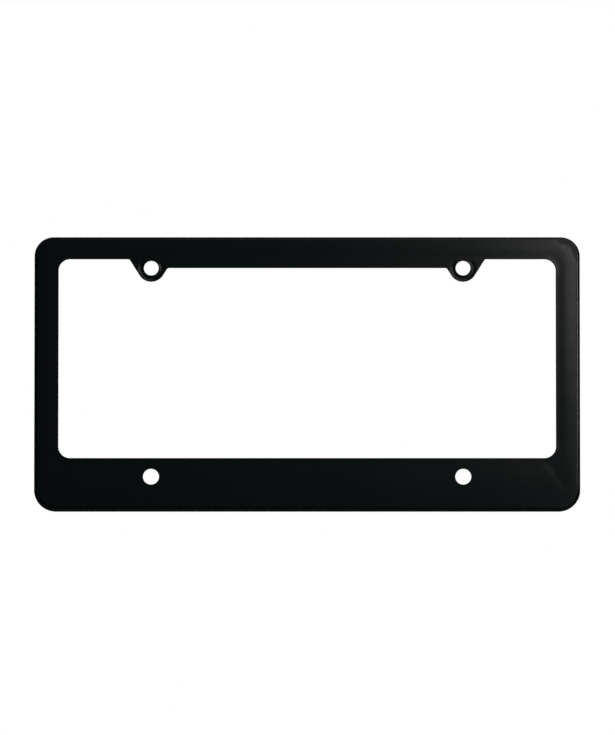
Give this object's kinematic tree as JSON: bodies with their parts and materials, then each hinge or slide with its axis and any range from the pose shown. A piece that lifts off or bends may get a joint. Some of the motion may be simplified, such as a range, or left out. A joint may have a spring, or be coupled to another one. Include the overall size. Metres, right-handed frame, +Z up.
{
  "type": "number plate holder",
  "caption": "Pressed black frame that surrounds a number plate, with a crowned face, side walls, a wide lower bar and screw ears at the top.",
  "frame": {"origin": "centre of the bounding box: half the width, half the height and half the depth", "axes": "+X to the right seen from the front, +Y to the vehicle behind the frame, so the crowned face looks along -Y, +Z up"},
  "size_m": [0.3112, 0.0058, 0.159],
  "materials": {
    "black_coat": "semi-gloss black coat on pressed sheet"
  },
  "bodies": {
    "root": {"plate_frame": "black_coat"}
  },
  "joints": []
}
